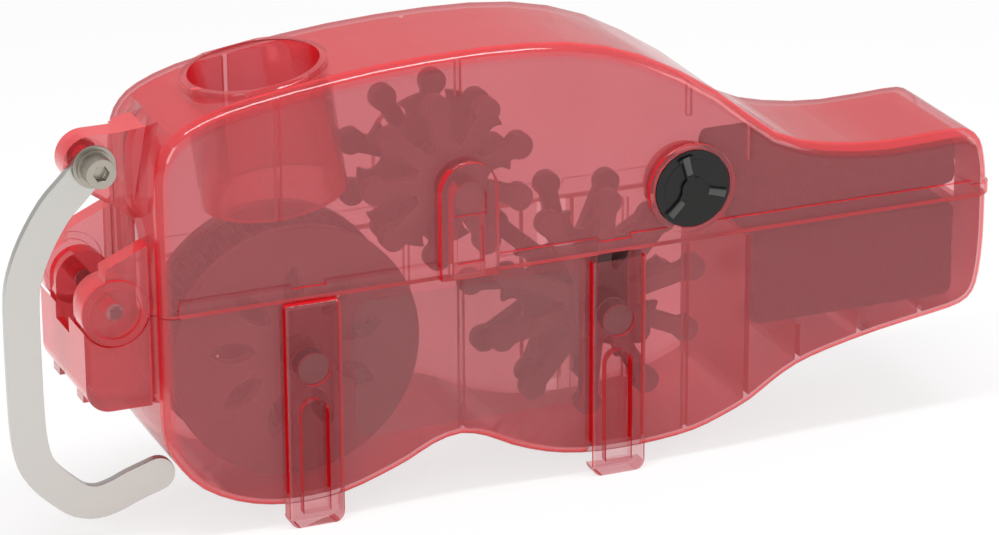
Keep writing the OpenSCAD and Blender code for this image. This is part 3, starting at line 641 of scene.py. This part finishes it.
# %% Steel, brush plastic and rubber
steel = material("steel", (0.52, 0.51, 0.49), 0.28, 1.0)
axle_steel = material("axle_steel", (0.20, 0.17, 0.165), 0.5, 1.0)
screw_steel = material("screw_steel", (0.40, 0.37, 0.32), 0.3, 1.0)
for metal in (steel, axle_steel, screw_steel):
    bumped(metal, 900, 0.12)
hook_steel = material("hook_steel", (0.56, 0.55, 0.52), 0.30, 1.0)
bumped(hook_steel, 500, 0.10, stretch=(0.15, 1, 1))
brush_plastic = material("brush_plastic", (0.12, 0.10, 0.095), 0.5)
varied(brush_plastic, (0.10, 0.085, 0.08), (0.14, 0.12, 0.115), 60)
bumped(brush_plastic, 1400, 0.25)
seal_rubber = material("seal_rubber", (0.02, 0.02, 0.02), 0.7)
bumped(seal_rubber, 900, 0.3)
print("finishes so far:", len(bpy.data.materials))

# %% [markdown]
# ## Steel, wheels and brushes
# These pieces keep their solid's shape. The solids could show as they are, but real edges always
# catch a thin line of light, so a copy of each gets small rounded edges. The table gives each
# piece its finish and the width of its edges. The rubber seal is round already.

# %% Hard pieces
hard = {
    "hinge_pins": (steel, 0.25),
    "hook_arm": (hook_steel, 0.18),
    "hook_screw": (screw_steel, 0.25),
    "hook_washers": (screw_steel, 0.12),
    "hook_nut": (screw_steel, 0.2),
    "plug_seal": (seal_rubber, 0),
}
for brush in ("left", "right", "upper"):
    hard[brush + "_brush_axle"] = (axle_steel, 0.3)
    hard[brush + "_brush_drive_wheel"] = (brush_plastic, 0.2)
for brush, form in (("left", "disc"), ("right", "star"), ("upper", "star")):
    for side in ("near", "far"):
        hard["%s_brush_%s_%s" % (brush, side, form)] = (brush_plastic, 0.5)
for node, (finish, edge) in hard.items():
    piece = copy_of(node)
    if edge:
        soften(piece, edge)
    finish_piece(piece, node, finish)
print("hard pieces:", len(hard))

# %% [markdown]
# ## Plug
# A black plug closes the hole in the front wall. Its cap has a flat face that fills the lower
# third of the circle, and three round-topped ridges for the fingers. They could be sculpted into
# the cap, but shapes pushed from outlines stay true to their measures. They are joined to a copy
# of the solid, which keeps its shank and tabs, and two stretches of its rim are cut low.

# %% Plug
PLUG = (50.1, 82.7)
CAP_FRONT = -26.7
SECTOR_OUTER, SECTOR_INNER, SECTOR_BACK = 9.9, 3.6, -25.2
SCOOP_OUTER, SCOOP_INNER = 11.6, 8.6
SCOOP_FRONT, SCOOP_BACK = -28, -25.8
SCOOPS = ((-7, 92), (118, 217))
RIDGE_ANGLES = (225, 105, -15)
RIDGE_ENDS = ((4.7, 1.35), (10.1, 1.6))
RIDGE_SINK, RIDGE_RISE, RIDGE_SIDES = 0.65, 0.9, 12


def finger_ridge(angle):
    """A round-topped bar laid along a spoke of the cap, wider at its outer end."""
    spoke = math.radians(angle)
    n = RIDGE_SIDES
    points = []
    for r, size in RIDGE_ENDS:
        for k in range(n):
            a = math.radians(360 / n * k)
            w = size * math.cos(a)
            points.append((PLUG[0] + r * math.cos(spoke) - w * math.sin(spoke),
                           CAP_FRONT + RIDGE_SINK + RIDGE_RISE * math.sin(a),
                           PLUG[1] + r * math.sin(spoke) + w * math.cos(spoke)))
    faces = [[k, (k + 1) % n, (k + 1) % n + n, k + n] for k in range(n)]
    faces += [list(range(n)), list(range(n, 2 * n))]
    return new_object("finger_ridge", points, faces)


knob = copy_of("plug_knob")
sector = arc_points(*PLUG, SECTOR_OUTER, 228, 342, 24)
sector += arc_points(*PLUG, SECTOR_INNER, 360, 570, 12)[1:-1]
combine(knob, pushed("sector", sector, CAP_FRONT, SECTOR_BACK), "UNION")
for start, end in SCOOPS:
    outline = arc_points(*PLUG, SCOOP_OUTER, start, end, 20)
    outline += arc_points(*PLUG, SCOOP_INNER, end, start, 20)
    combine(knob, pushed("scoop", outline, SCOOP_FRONT, SCOOP_BACK), "DIFFERENCE")
for angle in RIDGE_ANGLES:
    combine(knob, finger_ridge(angle), "UNION")
soften(knob, 0.3, 35, 3)
print("plug faces:", len(knob.data.polygons))

# %% [markdown]
# ## Plug finishes
# The plug is one black moulding, but its flat face is matt, and its ridges are painted a little
# paler as a painted highlight on their round tops. Painting a mask would need unwrapping. The
# place of each face already tells which of the three finishes it gets.

# %% Plug finishes
FLAT_FACE = -0.98
ON_CAP = 0.05

black_plastic = material("black_plastic", (0.003, 0.003, 0.003), 0.30, specular=0.35)
bumped(black_plastic, 1200, 0.1)
grey_sector = material("grey_sector", (0.014, 0.0135, 0.013), 0.6, specular=0.25)
bumped(grey_sector, 1200, 0.2)
# Paler black for the ridges: a painted highlight for the light their round tops catch.
painted_highlight_black = material("painted_highlight_black", (0.05, 0.05, 0.048), 0.35)
bumped(painted_highlight_black, 1200, 0.1)

finish_piece(knob, "plug_knob", black_plastic)
knob.data.materials.append(grey_sector)
knob.data.materials.append(painted_highlight_black)
for face in knob.data.polygons:
    depth = face.center.y / MM - CAP_FRONT
    if face.normal.y < FLAT_FACE and abs(depth) < ON_CAP:
        face.material_index = 1
    # Faces in front of the cap are the ridges, and they get the painted highlight.
    elif depth < 0:
        face.material_index = 2
print("plug finishes:", len(knob.data.materials))

# %% [markdown]
# ## Bristles
# The two scrubbing discs of the left brush carry bristles on their inner faces. Blender's hair
# would give more strands, but real meshes export with the model. So each strand is a thin
# three-sided cone, set in a flat ring, and leans a little by chance. The random numbers are
# seeded so that each run gives the same brush.

# %% Bristles
RING_POINTS = 96
RING = ((25.7, 8.97), (35.3, 8.97), (35.3, 8.1), (25.7, 8.1))
ROWS = np.linspace(26.4, 34.7, 7)
STRANDS_PER_MM = 2.3
ROOT, TIP = 8.9, 3.4
ROOT_SIZE, TIP_SIZE = 0.26, 0.15
SCATTER, LEAN = 0.25, 0.45

bristle = material("bristle", (0.05, 0.045, 0.045), 0.6)
varied(bristle, (0.03, 0.028, 0.028), (0.08, 0.07, 0.07), 300)
rng = np.random.default_rng(7)


def flat_ring(s):
    """The points and faces of the ring that holds one disc's strands."""
    points, faces = [], []
    for k in range(RING_POINTS):
        a = 2 * math.pi * k / RING_POINTS
        points += [(LEFT_BRUSH + r * math.cos(a), s * y, AXLE + r * math.sin(a)) for r, y in RING]
        here, there = k * 4, (k + 1) % RING_POINTS * 4
        faces += [[here + j, here + (j + 1) % 4, there + (j + 1) % 4, there + j] for j in range(4)]
    return points, faces


def strand_ends(radius, a, s):
    """The root and the tip of one strand, each a little off its row."""
    r = radius + rng.normal(0, SCATTER)
    root = (LEFT_BRUSH + r * math.cos(a), s * ROOT, AXLE + r * math.sin(a))
    lean = rng.normal(0, LEAN, 2)
    tip = (root[0] + lean[0], s * (TIP + rng.normal(0, SCATTER)), root[2] + lean[1])
    return root, tip


def cone(root, tip, a, first):
    """The points and faces of one strand, whose first point has the number given."""
    points = []
    for (x, y, z), size in ((root, ROOT_SIZE), (tip, TIP_SIZE)):
        for q in range(3):
            b = 2 * math.pi * q / 3 + a
            points.append((x + size * math.cos(b), y, z + size * math.sin(b)))
    faces = [[first + q, first + (q + 1) % 3, first + 3 + (q + 1) % 3, first + 3 + q]
             for q in range(3)]
    faces += [[first + 3, first + 4, first + 5], [first + 2, first + 1, first]]
    return points, faces


def bristles(name, s):
    """One disc's ring and strands in a single mesh."""
    points, faces = flat_ring(s)
    for radius in ROWS:
        count = int(radius * STRANDS_PER_MM)
        for k in range(count):
            a = 2 * math.pi * (k + rng.random() * 0.5) / count
            root, tip = strand_ends(radius, a, s)
            more_points, more_faces = cone(root, tip, a, len(points))
            points += more_points
            faces += more_faces
    print(name, "points:", len(points))
    return new_object(name, points, faces)


for s, side in ((-1, "near"), (1, "far")):
    node = "left_brush_%s_bristles" % side
    finish_piece(bristles("shown_" + node, s), node, bristle, 60)

# %% [markdown]
# ## Sponges
# Two dark sponges in the grip wipe the chain. A foam block is never quite a box: its edges are
# round, its sides are drawn in, and cut pores show. Cloth simulation suits a soft pad, but stiff
# cut foam doesn't drape. So the block is a dense grid, rounded by rule and then pushed in by
# noise where the pores are.

# %% Sponges
SPONGE_CUTS = 30
SPONGE_ROUND = 3.2
SPONGE_WAIST = 0.02
PORE_SIZE, PORE_DEPTH, PORE_LEVEL = 0.0022, 0.0009, 0.75

foam = material("foam", (0.02, 0.014, 0.013), 0.95)
varied(foam, (0.012, 0.008, 0.008), (0.03, 0.02, 0.02), 700)
bumped(foam, 1500, 1.0)


def on_sponge(q, half):
    """Where a point of a cube from -1 to 1 lies on the rounded block, from its centre."""
    core = 1 - SPONGE_ROUND / half
    inner = np.clip(q, -core, core)
    rest = (q - inner) * half
    span = np.linalg.norm(rest)
    if span > 0:
        rest = rest / span * min(span, SPONGE_ROUND)
    p = inner * half + rest
    p[1] *= 1 - SPONGE_WAIST * (1 - q[2] ** 2)
    return p


def sponge_block(node):
    """A rounded block of dense grid in the box of a CAD node."""
    low, high = (np.array(v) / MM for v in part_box(node))
    centre, half = (low + high) / 2, (high - low) / 2
    block = bmesh.new()
    bmesh.ops.create_cube(block, size=2)
    bmesh.ops.subdivide_edges(block, edges=block.edges, cuts=SPONGE_CUTS, use_grid_fill=True)
    for v in block.verts:
        v.co = Vector((centre + on_sponge(np.array(v.co), half)) * MM)
    mesh = bpy.data.meshes.new("shown_" + node)
    block.to_mesh(mesh)
    block.free()
    return put_in_scene("shown_" + node, mesh)


for node in ("lower_sponge", "upper_sponge"):
    sponge = sponge_block(node)
    pores = bpy.data.textures.new("pores_" + node, "CLOUDS")
    pores.noise_scale = PORE_SIZE
    push = sponge.modifiers.new("pores", "DISPLACE")
    push.texture = pores
    push.strength = PORE_DEPTH
    push.mid_level = PORE_LEVEL
    apply_modifiers(sponge)
    finish_piece(sponge, node, foam, 60)
    print(node, "faces:", len(sponge.data.polygons))

# %% [markdown]
# ## Label film
# A thin clear film lies on the front wall, and it is bare. The solid's own mesh would do, but
# its back lies so close to the wall that the two would flicker, so it stands off by a hair.

# %% Film
FILM_GAP = 0.04

film = copy_of("label_film")
for vertex in film.data.vertices:
    vertex.co.y -= FILM_GAP * MM
finish_piece(film, "label_film", film_red)
print("film stands off the wall by", FILM_GAP, "mm")

# %% [markdown]
# ## White room
# The tool stands on a plain white floor in a white room. More light would make them white, and
# would bleach the part too. So the light stays at a plain level, and the Light Path node shows
# white to the camera and to sight that passes through glass. The floor is only partly white
# there, which keeps the part's soft shadow.

# %% White room
WHITE = (1, 1, 1, 1)
ROOM_LIGHT = 0.62
FLOOR_WHITE, ROOM_WHITE = 0.72, 1.0


def white_when_seen(tree, plain, white, share):
    """Mixes white over a plain shader, by a share, for camera and transmission rays only."""
    path = tree.nodes.new("ShaderNodeLightPath")
    seen = computed(tree, "MAXIMUM", path.outputs["Is Camera Ray"])
    tree.links.new(path.outputs["Is Transmission Ray"], seen.node.inputs[1])
    return mixed(tree, computed(tree, "MULTIPLY", seen, share), plain, white)


floor_mesh = bpy.data.meshes.new("floor")
floor_mesh.from_pydata([(-4, -4, 0), (4, -4, 0), (4, 4, 0), (-4, 4, 0)], [], [(0, 1, 2, 3)])
floor = put_in_scene("floor", floor_mesh)
floor_look = material("floor_look", (0.95, 0.95, 0.95), 0.6)
tree = floor_look.node_tree
glow = tree.nodes.new("ShaderNodeEmission")
glow.inputs["Color"].default_value = WHITE
glow.inputs["Strength"].default_value = 1.0
plain = tree.nodes["Principled BSDF"].outputs[0]
surface = white_when_seen(tree, plain, glow.outputs[0], FLOOR_WHITE)
tree.links.new(surface, tree.nodes["Material Output"].inputs["Surface"])
floor.data.materials.append(floor_look)

room = bpy.data.worlds.new("studio")
scene.world = room
room.use_nodes = True
tree = room.node_tree
light = tree.nodes["Background"]
light.inputs["Strength"].default_value = ROOM_LIGHT
light.inputs["Color"].default_value = WHITE
shown = tree.nodes.new("ShaderNodeBackground")
shown.inputs["Color"].default_value = WHITE
surface = white_when_seen(tree, light.outputs[0], shown.outputs[0], ROOM_WHITE)
tree.links.new(surface, tree.nodes["World Output"].inputs["Surface"])
print("room light:", ROOM_LIGHT)

# %% [markdown]
# ## Lamps
# Clear plastic shows its form by soft bands of light along its rounded edges. Small lamps would
# give hard dots, so the lamps are softboxes: a long one overhead, one at the camera's left and a
# low, weaker one at the right. Each is aimed at the middle of the part.

# %% Lamps
AIM = (0, 0, 0.06)


def softbox(name, place, size, power):
    """A rectangular lamp that looks at the part."""
    data = bpy.data.lights.new(name, "AREA")
    data.shape = "RECTANGLE"
    data.size, data.size_y = size
    data.energy = power
    lamp = put_in_scene(name, data)
    lamp.location = place
    lamp.rotation_euler = (Vector(AIM) - Vector(place)).to_track_quat("-Z", "Y").to_euler()
    return lamp


lamps = [
    softbox("overhead", (0.0, -0.15, 0.9), (0.9, 0.11), 5),
    softbox("left", (-0.9, -0.7, 0.5), (0.3, 0.6), 3.2),
    softbox("right", (0.9, -0.5, 0.35), (0.3, 0.5), 1.6),
]
print("lamps:", len(lamps))

# %% [markdown]
# ## Camera
# The camera could be placed by eye, but three vanishing directions in a picture fix it by
# calculation. It is a long lens, a good metre away, looking slightly down on the inlet's end.

# %% Camera
LENS, SENSOR = 154.23, 36
CAMERA_PLACE = (-0.43154, -1.04917, 0.49495)
CAMERA_TURN = (68.910, 0.294, -22.558)

lens = bpy.data.cameras.new("camera")
lens.lens = LENS
lens.sensor_width = SENSOR
camera = put_in_scene("camera", lens)
camera.location = CAMERA_PLACE
camera.rotation_euler = Euler([math.radians(a) for a in CAMERA_TURN], "XYZ")
scene.camera = camera
scene.view_settings.view_transform = "Standard"
scene.cycles.transparent_max_bounces = 32  # sight passes through many clear walls here
print("camera lens:", lens.lens)
